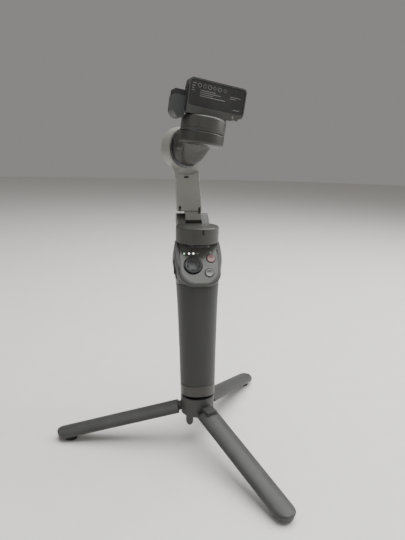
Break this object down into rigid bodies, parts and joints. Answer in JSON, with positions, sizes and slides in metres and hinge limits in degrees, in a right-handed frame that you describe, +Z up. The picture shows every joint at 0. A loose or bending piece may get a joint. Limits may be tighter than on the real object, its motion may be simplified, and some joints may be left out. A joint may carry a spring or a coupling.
{
  "type": "camera gimbal",
  "caption": "Folding motorised phone gimbal with a gripped handle, control panel and sprung phone clamp, on a folding leg stand.",
  "frame": {"origin": "on the table, under the stand's screw axis", "axes": "+Z up the stand's axis; the control panel faces -Y; +X is the user's right"},
  "size_m": [0.2145, 0.23, 0.3266],
  "materials": {
    "hub_plastic": "fine moulded texture",
    "leg_plastic": "satin moulded plastic",
    "foot_rubber": "matt rubber",
    "steel": "turned steel",
    "brass": "turned brass",
    "base_plastic": "satin moulded plastic",
    "grip_rubber": "soft-touch rubber",
    "frame_plastic": "glass-filled plastic",
    "shell_plastic": "fine satin plastic",
    "panel_plastic": "fine satin plastic",
    "black_plastic": "matt black plastic",
    "board": "solder-masked board",
    "cell_wrap": "shrink sleeve",
    "light_lens": "clear lens, lit",
    "joystick_rubber": "ribbed rubber",
    "shutter_red": "dull red lacquer",
    "mode_grey": "glossy grey",
    "motor_plastic": "satin dark grey",
    "magnet_steel": "plated steel",
    "copper": "enamelled copper",
    "arm_plastic": "fine satin plastic",
    "flex": "polyimide film",
    "clamp_plastic": "satin dark grey",
    "label_black": "matt dark panel",
    "jaw_plastic": "satin grey",
    "pad_rubber": "ribbed rubber"
  },
  "bodies": {
    "handle": {"tripod_hub": "hub_plastic", "tripod_screw": "steel", "leg_pins": "steel", "base_cap": "base_plastic", "thread_insert": "brass", "handle_frame": "frame_plastic", "grip_sleeve": "grip_rubber", "upper_front_shell": "shell_plastic", "upper_rear_shell": "shell_plastic", "control_panel": "panel_plastic", "pan_mount": "frame_plastic", "pan_collar": "black_plastic", "battery_cells": "cell_wrap", "battery_strap": "black_plastic", "main_board": "board", "button_board": "board", "tact_switches": "black_plastic", "status_lights": "light_lens", "usb_port": "steel", "handle_screws": "steel", "joystick_base": "black_plastic", "trigger_pin": "steel", "pan_shaft": "steel", "pan_stator": "copper"},
    "leg_1": {"leg_1": "leg_plastic", "foot_1": "foot_rubber"},
    "leg_2": {"leg_2": "leg_plastic", "foot_2": "foot_rubber"},
    "leg_3": {"leg_3": "leg_plastic", "foot_3": "foot_rubber"},
    "joystick_ring": {"joystick_ring": "steel"},
    "joystick_cap": {"joystick_cap": "joystick_rubber"},
    "shutter_button": {"shutter_button": "shutter_red"},
    "mode_button": {"mode_button": "mode_grey"},
    "zoom_slider": {"zoom_slider": "black_plastic"},
    "trigger": {"trigger": "black_plastic"},
    "pan_stage": {"pan_bearings": "steel", "pan_rotor": "magnet_steel", "pan_housing": "motor_plastic", "fold_pin": "steel"},
    "long_arm": {"long_arm": "arm_plastic", "arm_cover": "arm_plastic", "arm_flex": "flex", "roll_stator": "copper", "roll_bearings": "steel", "roll_cap": "arm_plastic"},
    "roll_stage": {"roll_rotor": "magnet_steel", "roll_arm": "motor_plastic", "tilt_stator": "copper", "tilt_bearings": "steel"},
    "tilt_stage": {"tilt_rotor": "magnet_steel", "tilt_cap": "motor_plastic", "clamp_housing": "clamp_plastic", "clamp_back_plate": "label_black", "clamp_rods": "steel", "clamp_spring": "steel", "fixed_jaw_pad": "pad_rubber"},
    "sliding_jaw": {"sliding_jaw": "jaw_plastic", "jaw_pad": "pad_rubber"}
  },
  "joints": [
    {"name": "leg_1_fold", "type": "hinge", "parent": "handle", "child": "leg_1", "pos_m": [0.0063, 0.0084, 0.034], "axis": [-0.7997, 0.6004, 0], "range_deg": [0, 75]},
    {"name": "leg_2_fold", "type": "hinge", "parent": "handle", "child": "leg_2", "pos_m": [-0.01042, 0.00126, 0.034], "axis": [-0.1201, -0.9928, 0], "range_deg": [0, 75]},
    {"name": "leg_3_fold", "type": "hinge", "parent": "handle", "child": "leg_3", "pos_m": [0.00412, -0.00966, 0.034], "axis": [0.9198, 0.3923, 0], "range_deg": [0, 75]},
    {"name": "joystick_up_down", "type": "hinge", "parent": "handle", "child": "joystick_ring", "pos_m": [-0.0059, 0.0088, 0.16596], "axis": [1, 0, 0], "range_deg": [-8, 8], "stiffness_Nm_per_rad": 0.02},
    {"name": "joystick_left_right", "type": "hinge", "parent": "joystick_ring", "child": "joystick_cap", "pos_m": [-0.0059, 0.0088, 0.16596], "axis": [0, 0.6157, 0.788], "range_deg": [-8, 8], "stiffness_Nm_per_rad": 0.02},
    {"name": "shutter_press", "type": "slide", "parent": "handle", "child": "shutter_button", "axis": [0, 0.788, -0.6157], "range_m": [0, 0.0008], "stiffness_N_per_m": 500, "springref_m": -0.001},
    {"name": "mode_press", "type": "slide", "parent": "handle", "child": "mode_button", "axis": [0, 0.788, -0.6157], "range_m": [0, 0.0008], "stiffness_N_per_m": 500, "springref_m": -0.001},
    {"name": "zoom_slide", "type": "slide", "parent": "handle", "child": "zoom_slider", "axis": [0, 0.1564, 0.9877], "range_m": [-0.0035, 0.0035], "stiffness_N_per_m": 150},
    {"name": "trigger_pull", "type": "hinge", "parent": "handle", "child": "trigger", "pos_m": [0, 0.03894, 0.16759], "axis": [-1, 0, 0], "range_deg": [0, 8], "stiffness_Nm_per_rad": 0.05, "springref_deg": -11.46},
    {"name": "pan", "type": "hinge", "parent": "handle", "child": "pan_stage", "pos_m": [0, 0.022, 0.187], "axis": [0, 0, 1], "range_deg": [-162.5, 170.3]},
    {"name": "arm_fold", "type": "hinge", "parent": "pan_stage", "child": "long_arm", "pos_m": [-0.0016, 0.044, 0.2048], "axis": [-1, 0, 0], "range_deg": [0, 150]},
    {"name": "roll", "type": "hinge", "parent": "long_arm", "child": "roll_stage", "pos_m": [-0.01, 0.05, 0.2695], "axis": [0.3907, -0.9205, 0], "range_deg": [-98, 100]},
    {"name": "tilt", "type": "hinge", "parent": "roll_stage", "child": "tilt_stage", "pos_m": [0.00298, 0.02477, 0.2835], "axis": [0.1361, 0.0578, 0.989], "range_deg": [-104.5, 235.7]},
    {"name": "jaw_slide", "type": "slide", "parent": "tilt_stage", "child": "sliding_jaw", "axis": [-0.975, -0.1695, 0.144], "range_m": [0, 0.034], "stiffness_N_per_m": 100, "springref_m": -0.04}
  ]
}
